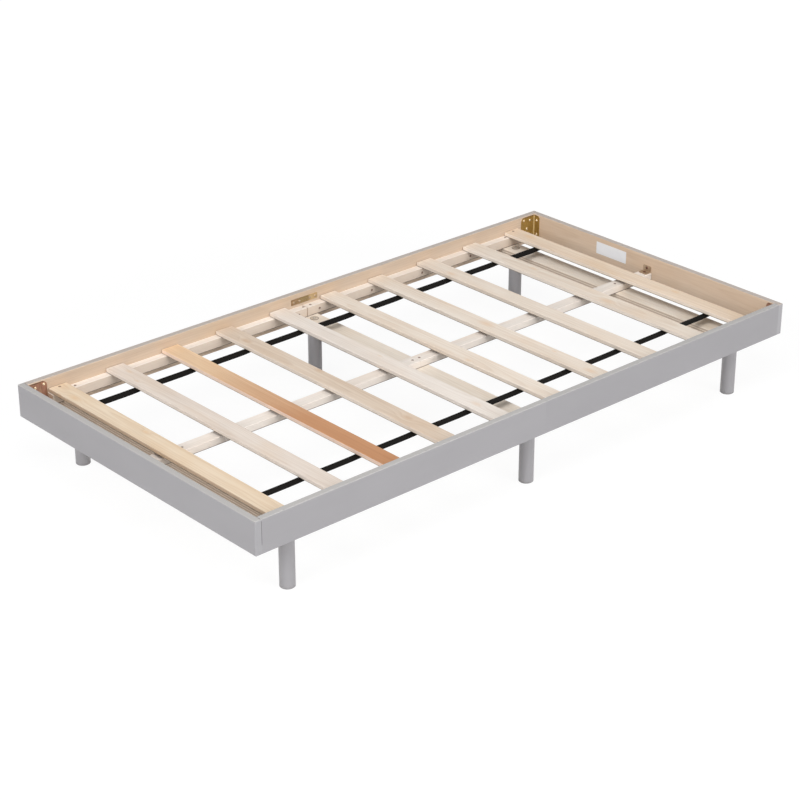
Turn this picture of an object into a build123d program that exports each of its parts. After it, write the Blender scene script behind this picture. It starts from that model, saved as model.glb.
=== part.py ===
"""Low platform bed frame for a single mattress, with a slatted deck inside a painted pine rim.

The rim is two end rails and two side rails. Each side rail is two halves that butt at mid-length
under a flat joining plate, and bent brackets hold the four corners. Cleats screwed inside the side
rails carry ten slats, which two webbing straps keep at their spacing. Three crossbeams lie under
the cleats on six turned legs, and a centre rail runs over the crossbeams from foot to head.

Millimetres. +X points to the head end, +Y to the left side seen from the foot end, +Z up. The
origin is on the floor under the middle of the frame.
"""

import os

from build123d import *

os.makedirs("parts", exist_ok=True)

# --- Rim ------------------------------------------------------------------------------------
frame_length = 2000.0
frame_width = 1042.0
floor_clearance = 170.0
rail_height = 97.0
rail_thickness = 20.0
rail_top_round = 3.0
rail_foot_chamfer = 1.0
rail_corner_chamfer = 2.0

# --- Slatted deck -----------------------------------------------------------------------------
mattress_recess = 31.0  # rail top down to the slats' top
slat_count = 10
slat_width = 59.0
slat_thickness = 12.5
slat_chamfer = 1.5
slat_end_gap = 2.0  # each slat end to the side rail
first_slat_inset = 114.0  # outside of the foot rail to the first slat's centre line
last_slat_inset = 127.5
slat_drift = (0, -3, -6, -6, -1, 1, -2, 6, 9, 0)  # how far each slat sits off an even spacing
strap_width = 25.0
strap_thickness = 1.5
strap_offset = 356.0  # middle of the frame to each strap's centre line
strap_tail = 20.0  # past the end slats' centre lines

# --- Cleats, crossbeams and centre rail ----------------------------------------------------------
cleat_width = 25.0
cleat_height = 30.0
cleat_bracket_gap = 1.0
cleat_joint_gap = 2.0
cleat_joint_offset = 8.0  # towards the foot, clear of the rails' butt joint
batten_chamfer = 1.0
beam_width = 65.0
beam_thickness = 18.0
beam_end_gap = 1.0
centre_rail_width = 40.0
centre_rail_height = 21.5
centre_rail_end_gap = 2.0

# --- Legs and their fixings -----------------------------------------------------------------------
leg_diameter = 42.0
leg_foot_chamfer = 1.5
leg_inset_x = 150.0  # outside of an end rail to the leg's centre
leg_inset_y = 68.0
bolt_diameter = 8.0
bolt_in_leg = 45.0
bolt_stand = 2.0  # bolt end above the tee nut
tee_flange_diameter = 26.0
tee_flange_thickness = 1.5
tee_barrel_diameter = 10.0
tee_barrel_length = 12.0

# --- Brackets and plates ----------------------------------------------------------------------------
bracket_height = 80.0
bracket_top_gap = 4.0
bracket_side_leaf = 60.0
bracket_end_leaf = 25.0
bracket_thickness = 2.0
bracket_bend = 3.0  # inside radius
bracket_side_round = 14.0
bracket_end_round = 9.0
side_leaf_holes = ((50, 31), (22, 27), (35, 0))  # from corner, from mid-height
end_leaf_holes = ((14, 24), (14, -24))
plate_length = 100.0
plate_height = 18.0
plate_thickness = 2.0
plate_drop = 16.0  # rail top down to the plate
plate_corner = 1.5
plate_holes = (20, 42)  # from the butt joint
clip_width = 32.0
clip_upright = 20.0
clip_foot = 24.0
clip_thickness = 2.0
clip_bend = 2.0
clip_corner = 2.5
clip_hole_in = 13.0  # from its corner, on both leaves
screw_hole_diameter = 4.5

# --- Levels and places worked out from the sizes above ------------------------------------------------
inner_x = frame_length / 2 - rail_thickness
inner_y = frame_width / 2 - rail_thickness
rail_top = floor_clearance + rail_height
slat_top = rail_top - mattress_recess
slat_bottom = slat_top - slat_thickness
cleat_bottom = slat_bottom - cleat_height
cleat_middle_y = inner_y - cleat_width / 2
cleat_end_x = inner_x - bracket_side_leaf - cleat_bracket_gap
beam_top = cleat_bottom
beam_bottom = beam_top - beam_thickness
centre_rail_top = beam_top + centre_rail_height
centre_rail_end_x = inner_x - centre_rail_end_gap
leg_x = frame_length / 2 - leg_inset_x
leg_y = frame_width / 2 - leg_inset_y
bracket_middle = rail_top - bracket_top_gap - bracket_height / 2
plate_middle = rail_top - plate_drop - plate_height / 2
screw_hole_radius = screw_hole_diameter / 2

ENDS = {"foot": -1, "head": 1}
SIDES = {"right": -1, "left": 1}
BEAMS = {"foot": -leg_x, "middle": 0.0, "head": leg_x}


def slat_centre(index):
    """Centre line of one slat along X."""
    first = -frame_length / 2 + first_slat_inset
    last = frame_length / 2 - last_slat_inset
    even = first + (last - first) * index / (slat_count - 1)
    return even + slat_drift[index % len(slat_drift)]


slat_centres = [slat_centre(index) for index in range(slat_count)]


def write(piece, name):
    """Label one finished piece and write its STEP file."""
    piece.part.label = name
    export_step(piece.part, f"parts/{name}.step")
    print(name, len(piece.part.solids()), "solids", round(piece.part.volume / 1000, 1), "cm3")


# --- Screw holes in the metal, with Z pointing out of the surface ------------------------------------
def facing(x, y, z, direction):
    """A place on a surface, looking out along the given direction."""
    return Plane(origin=(x, y, z), z_dir=direction).location


def side_leaf_holes_at(end, side):
    """Holes through a corner bracket's leaf on the side rail."""
    y = side * (inner_y - bracket_thickness)
    return [
        facing(end * (inner_x - along), y, bracket_middle + up, (0, -side, 0))
        for along, up in side_leaf_holes
    ]


def end_leaf_holes_at(end, side):
    """Holes through a corner bracket's leaf on the end rail."""
    x = end * (inner_x - bracket_thickness)
    return [
        facing(x, side * (inner_y - along), bracket_middle + up, (-end, 0, 0))
        for along, up in end_leaf_holes
    ]


def plate_holes_at(side):
    """Holes through a joining plate, two each side of the butt joint."""
    y = side * (inner_y - plate_thickness)
    return [
        facing(end * along, y, plate_middle, (0, -side, 0))
        for end in ENDS.values()
        for along in plate_holes
    ]


def clip_holes_at(end):
    """Holes through a centre rail clip, one into the end rail and one down into the centre rail."""
    wall = facing(end * (inner_x - clip_thickness), 0, centre_rail_top + clip_hole_in, (-end, 0, 0))
    foot = facing(end * (inner_x - clip_hole_in), 0, centre_rail_top + clip_thickness, (0, 0, 1))
    return wall, foot


leg_places = [(beam_x, side * leg_y) for beam_x in BEAMS.values() for side in SIDES.values()]

# --- End rails: full width, so that their end grain shows at the corners --------------------------------
for end_name, end in ENDS.items():
    with BuildPart() as end_rail:
        with BuildSketch(Plane.XY.offset(floor_clearance)) as plan:
            with Locations((end * (frame_length - rail_thickness) / 2, 0)):
                Rectangle(rail_thickness, frame_width)
            chamfer(plan.vertices().group_by(Axis.X)[-1 if end > 0 else 0], rail_corner_chamfer)
        extrude(amount=rail_height)
        fillet(end_rail.edges().group_by(Axis.Z)[-1], rail_top_round)
        chamfer(end_rail.edges().group_by(Axis.Z)[0], rail_foot_chamfer)
    write(end_rail, f"{end_name}_rail")

# --- Side rails: two halves a side, butted at mid-length -----------------------------------------------
for side_name, side in SIDES.items():
    for end_name, end in ENDS.items():
        with BuildPart() as side_rail:
            with BuildSketch(Plane.XY.offset(floor_clearance)):
                with Locations((end * inner_x / 2, side * (frame_width - rail_thickness) / 2)):
                    Rectangle(inner_x, rail_thickness)
            extrude(amount=rail_height)
            long_edges = side_rail.edges().filter_by(Axis.X).group_by(Axis.Z)
            fillet(long_edges[-1], rail_top_round)
            long_edges = side_rail.edges().filter_by(Axis.X).group_by(Axis.Z)
            chamfer(long_edges[0], rail_foot_chamfer)
        write(side_rail, f"side_rail_{side_name}_{end_name}")

# --- Cleats: ledges inside the side rails that carry the slats ------------------------------------------
for side_name, side in SIDES.items():
    for end_name, end in ENDS.items():
        joint_x = -cleat_joint_offset + end * cleat_joint_gap / 2
        outer_x = end * cleat_end_x
        with BuildPart() as cleat:
            with BuildSketch(Plane.XY.offset(cleat_bottom)):
                with Locations(((joint_x + outer_x) / 2, side * cleat_middle_y)):
                    Rectangle(abs(outer_x - joint_x), cleat_width)
            extrude(amount=cleat_height)
            inner_edges = cleat.edges().filter_by(Axis.X).group_by(Axis.Y)[0 if side > 0 else -1]
            chamfer(inner_edges, batten_chamfer)
        write(cleat, f"cleat_{side_name}_{end_name}")

# --- Slats ---------------------------------------------------------------------------------------------
slat_length = 2 * (inner_y - slat_end_gap)
for index, centre in enumerate(slat_centres):
    with BuildPart() as slat:
        with BuildSketch(Plane.XZ.offset(-slat_length / 2)) as section:
            with Locations((centre, (slat_top + slat_bottom) / 2)):
                Rectangle(slat_width, slat_thickness)
            chamfer(section.vertices(), slat_chamfer)
        extrude(amount=slat_length)
    write(slat, f"slat_{index + 1:02d}")

# --- Webbing straps: flat against the underside of every slat ------------------------------------------
for side_name, side in SIDES.items():
    strap_length = slat_centres[-1] - slat_centres[0] + 2 * strap_tail
    with BuildPart() as strap:
        with BuildSketch(Plane.XY.offset(slat_bottom)):
            with Locations(((slat_centres[0] + slat_centres[-1]) / 2, side * strap_offset)):
                Rectangle(strap_length, strap_width)
        extrude(amount=-strap_thickness)
    write(strap, f"strap_{side_name}")

# --- Tee nut, pressed into a crossbeam from above over each leg -----------------------------------------
with BuildPart() as tee_nut:
    with BuildSketch(Plane.XY):
        Circle(tee_flange_diameter / 2)
    extrude(amount=tee_flange_thickness)
    with BuildSketch(Plane.XY):
        Circle(tee_barrel_diameter / 2)
    extrude(amount=-tee_barrel_length)
    Hole(bolt_diameter / 2)

# --- Crossbeams: flat boards under the cleats, one over each pair of legs -------------------------------
for beam_name, beam_x in BEAMS.items():
    with BuildPart() as beam:
        with BuildSketch(Plane.XY.offset(beam_bottom)):
            with Locations((beam_x, 0)):
                Rectangle(beam_width, 2 * (inner_y - beam_end_gap))
        extrude(amount=beam_thickness)
        chamfer(beam.edges().filter_by(Axis.Y), batten_chamfer)
        with Locations((beam_x, leg_y, beam_top), (beam_x, -leg_y, beam_top)):
            Hole(tee_barrel_diameter / 2)
    write(beam, f"crossbeam_{beam_name}")

# --- Centre rail: two halves that meet on the middle crossbeam ------------------------------------------
for end_name, end in ENDS.items():
    with BuildPart() as centre_rail:
        with BuildSketch(Plane.XY.offset(beam_top)):
            with Locations((end * centre_rail_end_x / 2, 0)):
                Rectangle(centre_rail_end_x, centre_rail_width)
        extrude(amount=centre_rail_height)
        chamfer(centre_rail.edges().filter_by(Axis.X), batten_chamfer)
    write(centre_rail, f"centre_rail_{end_name}")

# --- Legs: turned, and bored from above for the hanger bolt ----------------------------------------------
for beam_name, beam_x in BEAMS.items():
    for side_name, side in SIDES.items():
        with BuildPart() as leg:
            with BuildSketch(Plane.XY):
                with Locations((beam_x, side * leg_y)):
                    Circle(leg_diameter / 2)
            extrude(amount=beam_bottom)
            chamfer(leg.edges().group_by(Axis.Z)[0], leg_foot_chamfer)
            with Locations((beam_x, side * leg_y, beam_bottom)):
                Hole(bolt_diameter / 2, depth=bolt_in_leg)
        write(leg, f"leg_{beam_name}_{side_name}")

# --- Hanger bolts and tee nuts, one of each at every leg ------------------------------------------------
bolt_top = beam_top + tee_flange_thickness + bolt_stand
with BuildPart() as hanger_bolts:
    with BuildSketch(Plane.XY.offset(beam_bottom - bolt_in_leg)):
        with Locations(*leg_places):
            Circle(bolt_diameter / 2)
    extrude(amount=bolt_top - beam_bottom + bolt_in_leg)
write(hanger_bolts, "hanger_bolts")

with BuildPart() as tee_nuts:
    with Locations(*[(x, y, beam_top) for x, y in leg_places]):
        add(tee_nut.part)
write(tee_nuts, "tee_nuts")

# --- Corner brackets: bent steel, screwed to both rails --------------------------------------------------
for end_name, end in ENDS.items():
    for side_name, side in SIDES.items():
        corner = (end * inner_x, side * inner_y)
        outline = (
            (0, 0),
            (bracket_side_leaf, 0),
            (bracket_side_leaf, bracket_thickness),
            (bracket_thickness, bracket_thickness),
            (bracket_thickness, bracket_end_leaf),
            (0, bracket_end_leaf),
        )
        with BuildPart() as bracket:
            with BuildSketch(Plane.XY.offset(bracket_middle - bracket_height / 2)) as section:
                with BuildLine():
                    Polyline(
                        *[(end * (inner_x - along), side * (inner_y - across)) for along, across in outline],
                        close=True,
                    )
                make_face()
                bend = section.vertices().sort_by_distance((*corner, bracket_middle - bracket_height / 2))
                fillet(bend[0], bracket_bend + bracket_thickness)
                bend = section.vertices().sort_by_distance(
                    (corner[0] - end * bracket_thickness, corner[1] - side * bracket_thickness, 0)
                )
                fillet(bend[0], bracket_bend)
            extrude(amount=bracket_height)
            side_tip = bracket.edges().filter_by(Axis.Y).group_by(Axis.X)[0 if end > 0 else -1]
            fillet(side_tip, bracket_side_round)
            end_tip = bracket.edges().filter_by(Axis.X).group_by(Axis.Y)[0 if side > 0 else -1]
            fillet(end_tip, bracket_end_round)
            with Locations(*side_leaf_holes_at(end, side), *end_leaf_holes_at(end, side)):
                Hole(screw_hole_radius, depth=2 * bracket_thickness)
        write(bracket, f"corner_bracket_{end_name}_{side_name}")

# --- Joining plates across the side rails' butt joints ---------------------------------------------------
for side_name, side in SIDES.items():
    with BuildPart() as plate:
        with BuildSketch(Plane.XZ.offset(-side * inner_y)) as outline:
            with Locations((0, plate_middle)):
                Rectangle(plate_length, plate_height)
            chamfer(outline.vertices(), plate_corner)
        extrude(amount=side * plate_thickness)
        with Locations(*plate_holes_at(side)):
            Hole(screw_hole_radius, depth=2 * plate_thickness)
    write(plate, f"joining_plate_{side_name}")

# --- Clips that tie the centre rail to the end rails -----------------------------------------------------
for end_name, end in ENDS.items():
    outline = (
        (0, 0),
        (clip_foot, 0),
        (clip_foot, clip_thickness),
        (clip_thickness, clip_thickness),
        (clip_thickness, clip_upright),
        (0, clip_upright),
    )
    with BuildPart() as clip:
        with BuildSketch(Plane.XZ) as section:
            with BuildLine():
                Polyline(
                    *[(end * (inner_x - along), centre_rail_top + up) for along, up in outline],
                    close=True,
                )
            make_face()
            bend = section.vertices().sort_by_distance(
                (end * (inner_x - clip_thickness), 0, centre_rail_top + clip_thickness)
            )
            fillet(bend[0], clip_bend)
        extrude(amount=clip_width / 2, both=True)
        tips = clip.edges().filter_by(Axis.Z).group_by(Axis.X)[0 if end > 0 else -1]
        chamfer(tips, clip_corner)
        upper = clip.edges().filter_by(Axis.X).group_by(Axis.Z)[-1]
        chamfer(upper, clip_corner)
        with Locations(*clip_holes_at(end)):
            Hole(screw_hole_radius, depth=2 * clip_thickness)
    write(clip, f"centre_rail_clip_{end_name}")
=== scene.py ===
# %% [markdown]
# A low slatted bed frame: a grey painted rim, a deck of bare pine slats, and small steel fittings.
#
# The solid model comes first and stays as it is. It already holds every board, leg, bracket and bolt
# at its true size. So this lesson adds only the camera and light, the wood, paint, steel and webbing,
# and small things such as screws and staples.

import math
import random

import bmesh
import bpy
from mathutils import Matrix, Vector


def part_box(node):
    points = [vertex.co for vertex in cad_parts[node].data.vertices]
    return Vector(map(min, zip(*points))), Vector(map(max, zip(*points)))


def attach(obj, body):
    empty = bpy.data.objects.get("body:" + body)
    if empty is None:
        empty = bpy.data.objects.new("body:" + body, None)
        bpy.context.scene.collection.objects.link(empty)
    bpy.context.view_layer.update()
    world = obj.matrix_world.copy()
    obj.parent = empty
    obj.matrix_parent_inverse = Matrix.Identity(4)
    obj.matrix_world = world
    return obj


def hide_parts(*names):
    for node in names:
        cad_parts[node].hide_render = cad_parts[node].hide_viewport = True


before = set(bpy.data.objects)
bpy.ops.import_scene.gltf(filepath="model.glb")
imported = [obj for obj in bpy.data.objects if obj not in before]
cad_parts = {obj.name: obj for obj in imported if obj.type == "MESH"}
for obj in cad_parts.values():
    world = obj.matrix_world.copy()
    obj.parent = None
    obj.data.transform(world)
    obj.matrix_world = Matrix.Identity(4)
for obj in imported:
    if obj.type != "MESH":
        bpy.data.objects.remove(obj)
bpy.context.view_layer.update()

# %% [markdown]
# Every place below is read from the solid model: a board's box gives its faces, and the names say
# which face is meant.

# %% Read the main levels and faces
ENDS = {"foot": -1, "head": 1}
SIDES = {"right": -1, "left": 1}
BEAMS = ("foot", "middle", "head")
SLATS = [f"slat_{number:02d}" for number in range(1, 11)]
MM = 0.001

rail_low, rail_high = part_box("side_rail_left_head")
rail_top = rail_high.z
inner_y = rail_low.y
inner_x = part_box("head_rail")[0].x
slat_bottom, slat_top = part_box("slat_05")[0].z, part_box("slat_05")[1].z
beam_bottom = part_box("crossbeam_middle")[0].z
print("rim top", round(rail_top, 3), "slats from", round(slat_bottom, 4), "to", round(slat_top, 4))

# %% [markdown]
# The camera stands well back with a long lens, because close lenses make near legs look far too
# large. It is set by an angle round the bed, an angle above the horizon and a distance.

# %% Camera
AZIMUTH = math.radians(-41.919)
ELEVATION = math.radians(25.797)
DISTANCE = 5.841
FOCAL_LENGTH = 97.546
SENSOR_WIDTH = 36.0
AIM = Vector((-0.2868, -0.2514, rail_top))


def put_in_scene(name, data):
    """A new object in the scene, made of this data."""
    made = bpy.data.objects.new(name, data)
    bpy.context.scene.collection.objects.link(made)
    return made


stand_off = Vector((
    math.sin(AZIMUTH) * math.cos(ELEVATION),
    -math.cos(AZIMUTH) * math.cos(ELEVATION),
    math.sin(ELEVATION),
))
camera_data = bpy.data.cameras.new("camera")
camera_data.sensor_width = SENSOR_WIDTH
camera_data.lens = FOCAL_LENGTH
camera = put_in_scene("camera", camera_data)
camera.location = AIM + stand_off * DISTANCE
camera.rotation_euler = (-stand_off).to_track_quat("-Z", "Y").to_euler()
bpy.context.scene.camera = camera
bpy.context.scene.view_settings.view_transform = "Standard"
print("camera at", tuple(round(value, 3) for value in camera.location))

# %% [markdown]
# A finish is a small network of nodes, and networks are hard to read as lists of links. So a Wire
# stands for one socket and knows arithmetic: `1 - mask` or `grain * 0.3 + cloud` each add the Math
# nodes that they need, and `mask.or_if(other)` is the larger of two masks.

# %% Wires
def sign(operation):
    """A method that adds one Math node after a wire, with any other value as its second."""
    return lambda wire, *others: wire.math(operation, wire, *others)


class Wire:
    """One output socket, with arithmetic on plain values."""

    def __init__(self, finish, socket):
        self.finish = finish
        self.socket = socket

    def math(self, operation, *values, clamp=False):
        return self.finish.node("Math", {"operation": operation, "use_clamp": clamp}, *values)

    __add__ = __radd__ = sign("ADD")
    __sub__ = sign("SUBTRACT")
    __mul__ = __rmul__ = sign("MULTIPLY")
    __truediv__ = sign("DIVIDE")
    __pow__ = sign("POWER")
    __abs__ = sign("ABSOLUTE")
    fraction = sign("FRACT")
    or_if = sign("MAXIMUM")

    def __rsub__(self, other):
        return self.math("SUBTRACT", other, self)

    def clamped(self):
        return self.math("ADD", self, 0.0, clamp=True)

    def above(self, edge, softness):
        """0 below the edge and 1 above it, with a soft step of that width."""
        return ((self - edge) / softness + 0.5).clamped()


print("a wire knows + - * / ** and abs")

# %% [markdown]
# A Finish is one material, or the world's light. It makes any node with one method, which sets the
# node's own settings first, because they decide which sockets it shows.

# %% Finishes
class Finish:
    """One material, or a world, built node by node."""

    def __init__(self, name, owner=None):
        self.material = owner or bpy.data.materials.new(name)
        self.material.use_nodes = True
        self.tree = self.material.node_tree
        self.surface = self.tree.nodes.get("Principled BSDF")
        self.output = next(node for node in self.tree.nodes if node.type.startswith("OUTPUT"))

    def feed(self, socket, value):
        """Links a wire to a socket, or sets the socket to a value."""
        if isinstance(value, Wire):
            self.tree.links.new(value.socket, socket)
        elif socket.type == "RGBA":
            socket.default_value = (*value, 1.0)
        else:
            socket.default_value = value

    def node(self, kind, settings, *values, out=None, **named):
        """Any node: its settings first, then its sockets in order or by name."""
        made = self.tree.nodes.new("ShaderNode" + kind)
        for key, value in settings.items():
            if key == "stops":
                while len(made.color_ramp.elements) < len(value):
                    made.color_ramp.elements.new(0.5)
                for element, (position, level) in zip(made.color_ramp.elements, value):
                    element.position = position
                    element.color = (level, level, level, 1.0)
            else:
                setattr(made, key, value)
        shown = [socket for socket in made.inputs if socket.enabled]
        for socket, value in zip(shown, values):
            self.feed(socket, value)
        for name, value in named.items():
            self.feed(next(socket for socket in shown if socket.name == name), value)
        outputs = [socket for socket in made.outputs if socket.enabled]
        return Wire(self, next(s for s in outputs if out is None or s.name == out))

    def noise(self, *where, detail=2.0):
        """Smooth noise from 0 to 1, with one lump for each unit of the place."""
        place = self.node("CombineXYZ", {}, *where)
        return self.node("TexNoise", {}, Vector=place, Scale=1.0, Detail=detail, Roughness=0.5)

    def mix(self, share, first, second, blend="MIX"):
        """From the first colour to the second as the share goes from 0 to 1."""
        return self.node("Mix", {"data_type": "RGBA", "blend_type": blend}, share, first, second)

    def place(self):
        """The place on the object, as three wires in metres."""
        where = self.node("TexCoord", {}, out="Object")
        return [self.node("SeparateXYZ", {}, where, out=axis) for axis in "XYZ"]

    def bump(self, height, depth):
        """Small relief, with the height from 0 to 1 and the depth in metres."""
        return self.node("Bump", {}, Strength=1.0, Distance=depth, Height=height)

    def looked_at(self):
        """1 where the lens, a gloss or clear glass looks here, and 0 for light that spreads."""
        kinds = ("Camera", "Glossy", "Transmission")
        rays = [self.node("LightPath", {}, out=f"Is {kind} Ray") for kind in kinds]
        return (rays[0] + rays[1] + rays[2]).clamped()

    def show(self, shader):
        """Makes this shader what the surface, or the world, shows."""
        self.tree.links.new(shader.socket, self.output.inputs["Surface"])

    def dress(self, colour, rough, relief, depth, **others):
        """Sets or links the sockets of the surface, and gives the material."""
        others |= {"Base_Color": colour, "Roughness": rough, "Normal": self.bump(relief, depth)}
        for name, value in others.items():
            self.feed(self.surface.inputs[name.replace("_", " ")], value)
        return self.material


print("a finish is built with node, noise, mix, bump and dress")

# %% [markdown]
# Colours are named as on a paint card, with three numbers from 0 to 255. Materials need them in
# linear light, so they are turned into that.

# %% Colours from a paint card
def shade(red, green, blue):
    """One colour from the card, in linear light."""
    def linear(value):
        value = value / 255
        return value / 12.92 if value <= 0.04045 else ((value + 0.055) / 1.055) ** 2.4
    return linear(red), linear(green), linear(blue)


def shades(*cards):
    """Several colours from the card, each as its three numbers."""
    return [shade(*card) for card in cards]


print("card grey", round(shade(128, 128, 128)[0], 3))

# %% [markdown]
# The bed stands on a plain pale floor in even light. One big soft lamp overhead would leave the space
# under the deck dark. So three large lamps are used: one high over the foot's right corner, one off
# the right side and one off the foot end. They are far away, so they reach in under the slats and
# light each long face evenly. A faint white sky fills in what they miss.

# %% Sky and lamps
SKY_LIGHT = 0.18
LAMPS = {
    "high_corner": (Vector((-3.0, -2.8, 7.0)), 4.5, 306.0),
    "right_side": (Vector((1.0, -8.0, 3.5)), 5.0, 365.0),
    "foot_end": (Vector((-8.0, -1.0, 3.5)), 5.0, 304.0),
}
MIDDLE_OF_DECK = Vector((0.0, 0.0, slat_top))
WHITE = (1.0, 1.0, 1.0)

sky = Finish("studio", bpy.data.worlds.new("studio"))
bpy.context.scene.world = sky.material
sky.show(sky.node("Background", {}, WHITE, sky.looked_at() * (1 - SKY_LIGHT) + SKY_LIGHT))

for name, (place, size, power) in LAMPS.items():
    lamp_data = bpy.data.lights.new(name, "AREA")
    lamp_data.energy = power
    lamp_data.size = size
    lamp = put_in_scene(name, lamp_data)
    lamp.location = place
    lamp.rotation_euler = (MIDDLE_OF_DECK - place).to_track_quat("-Z", "Y").to_euler()
print("sky", SKY_LIGHT, "and", len(LAMPS), "lamps")

# %% [markdown]
# The floor is two things at once. To the lens it is nearly white and keeps a faint shadow, which a
# little diffuse grey on top of a glow gives. The glow rises away from the bed, where the lamps reach
# less. For the light that spreads from it, it is a plain pale floor that does not glow at all.

# %% Floor
FLOOR_REACH = 60.0
FLOOR_GLOW = 0.92
FLOOR_BODY = (0.11, 0.11, 0.11)
FLOOR_BOUNCE = (0.8, 0.8, 0.8)
GLOW_RISES_AT = 2.4
GLOW_RISES_OVER = 2.0
SQUARE = ((-1, -1), (1, -1), (1, 1), (-1, 1))

paint = Finish("floor")
x, y = paint.place()[:2]
away = ((x ** 2 + y ** 2) ** 0.5).above(GLOW_RISES_AT, GLOW_RISES_OVER)
floor_shown = paint.node(
    "AddShader", {},
    paint.node("Emission", {}, Color=WHITE, Strength=away * (1 - FLOOR_GLOW) + FLOOR_GLOW),
    paint.node("BsdfDiffuse", {}, Color=FLOOR_BODY),
)
floor_plain = paint.node("BsdfDiffuse", {}, Color=FLOOR_BOUNCE)
paint.show(paint.node("MixShader", {}, paint.looked_at(), floor_plain, floor_shown))

floor_mesh = bpy.data.meshes.new("floor")
floor_corners = [(x * FLOOR_REACH / 2, y * FLOOR_REACH / 2, 0.0) for x, y in SQUARE]
floor_mesh.from_pydata(floor_corners, [], [(0, 1, 2, 3)])
floor_mesh.materials.append(paint.material)
floor = put_in_scene("floor", floor_mesh)
print("floor", FLOOR_REACH, "m across")

# %% [markdown]
# Pine is sawn from a round trunk, so its pattern is a slice through nested rings. Here the rings are
# cylinders round a pith that lies a little outside the board, and the board cuts through them: the
# face gets long lines and arches, the ends get arcs, and the pattern runs on over every edge. Slow
# noise makes the trunk wander, fine noise draws the fibres, and a soft cloud gives the uneven tint of
# bare wood. Each timber is three colours: pale early wood, darker late wood, and the resin's stain.

# %% Timbers
RING_WIDTH = 4.2 * MM
TIMBER = {
    "honey": shades((246, 227, 202), (218, 187, 150), (236, 202, 160)),
    "chalk": shades((240, 228, 217), (212, 192, 174), (228, 202, 174)),
    "ivory": shades((252, 243, 234), (226, 211, 197), (239, 217, 195)),
    "cream": shades((252, 240, 226), (224, 201, 177), (239, 209, 177)),
    "biscuit": shades((236, 219, 201), (202, 176, 150), (212, 180, 148)),
    "straw": shades((251, 231, 209), (223, 195, 165), (241, 206, 165)),
    "board": shades((222, 199, 176), (202, 173, 144), (214, 183, 148)),
    "plank": shades((214, 193, 172), (194, 167, 140), (207, 178, 145)),
    "birch": shades((252, 242, 229), (232, 214, 193), (240, 218, 190)),
    "tan": shades((246, 213, 176), (216, 176, 134), (232, 188, 138)),
    "amber": shades((202, 147, 102), (167, 103, 62), (200, 132, 80)),
}
AXES = {"X": 0, "Y": 1, "Z": 2}


def board_place(finish, node, along, across):
    """Three wires for a board: along its grain, across its face and through it, from its middle."""
    low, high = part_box(node)
    middle = (low + high) / 2
    wires = finish.place()
    through = next(axis for axis in "XYZ" if axis not in (along, across))
    return [wires[AXES[axis]] - middle[AXES[axis]] for axis in (along, across, through)]


print(len(TIMBER), "kinds of timber")

# %% [markdown]
# A knot is where a branch left the trunk. The rings swell round it and the wood there is stained, so
# a spot both bends the rings and adds a soft warm patch.

# %% Pine
def pine(finish, place, timber, seed, pith, spots=(), contrast=1.0):
    """The colour, roughness and relief of planed pine."""
    along, across, through = place
    pale, dark, warm = TIMBER[timber]
    shift = seed * 7.3
    slow = finish.noise(along * 1.1 + shift, across * 5 + shift, through * 5) - 0.5
    frayed = finish.noise(along * 9 + shift, across * 60, through * 60, detail=3.0) - 0.5
    cloud = finish.noise(along * 3 + shift, across * 16 + shift, through * 16, detail=3.0) - 0.5
    drift = finish.noise(along * 5 + shift, across * 12, through * 12 + shift)
    fibre = finish.noise(along * 12 + shift, across * 480, through * 480) - 0.5
    streak = finish.noise(along * 2.5 + shift, across * 130, through * 130) - 0.5

    radius = ((across - pith[0]) ** 2 + (through - pith[1]) ** 2) ** 0.5
    radius = radius + slow * 0.045 + frayed * 0.0022
    stain = drift.above(0.66, 0.30) * 0.45
    for spot_along, spot_across, spot_radius in spots:
        reach = (((along - spot_along) * 0.45) ** 2 + (across - spot_across) ** 2) ** 0.5 / spot_radius
        radius = radius + (1 - reach * 0.3).clamped() ** 2 * spot_radius
        stain = stain.or_if((1 - reach * 0.55).clamped() * 0.8)
    ring = (radius / RING_WIDTH).fraction()
    steps = {"stops": ((0.0, 0.0), (0.45, 0.12), (0.88, 1.0), (1.0, 0.0))}
    late = finish.node("RGBToBW", {}, finish.node("ValToRGB", steps, ring))

    share = (late * 0.30 + cloud * 1.1 + streak * 0.8 + 0.18) * contrast
    colour = finish.mix(share.clamped(), pale, dark)
    colour = finish.mix(stain, colour, warm)
    speckle = (fibre * (0.22 * contrast) + 0.98).clamped()
    speckled = finish.node("CombineColor", {}, speckle, speckle, speckle)
    colour = finish.mix(1.0, colour, speckled, "MULTIPLY")
    rough = 0.62 - late * 0.10 + fibre * 0.12
    relief = fibre * 0.6 - late * 0.4 + 0.7
    return colour, rough, relief


PORE_DEPTH = 0.18 * MM
SOFT_LINE = 0.3 * MM
SAWN = shade(196, 164, 130)
# Painted shade: a dark line along each board's lower edge.
LOWER_EDGE_SHADE = shade(92, 76, 64)
# The side tones are the greyer sawn faces and also painted shade; the brown one is a painted shadow.
SAWN_SIDE_AND_SHADE = shade(224, 216, 208)
SHADED_SIDE = shade(190, 180, 171)
RAIL_SHADOW_SIDE = shade(182, 161, 140)
CLEAT_SIDE_AND_SHADE = shade(208, 188, 168)


def below_top(finish, top):
    """One on the sides and the underside of a board, and nought on its planed top."""
    return 1 - finish.place()[2].above(top - 0.6 * MM, 0.5 * MM)


def painted_lower_shade(finish, bottom):
    """How dark the painted shade along a board's lower edge is."""
    return (1 - finish.place()[2].above(bottom + 2.5 * MM, 1.2 * MM)) * 0.85


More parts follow.
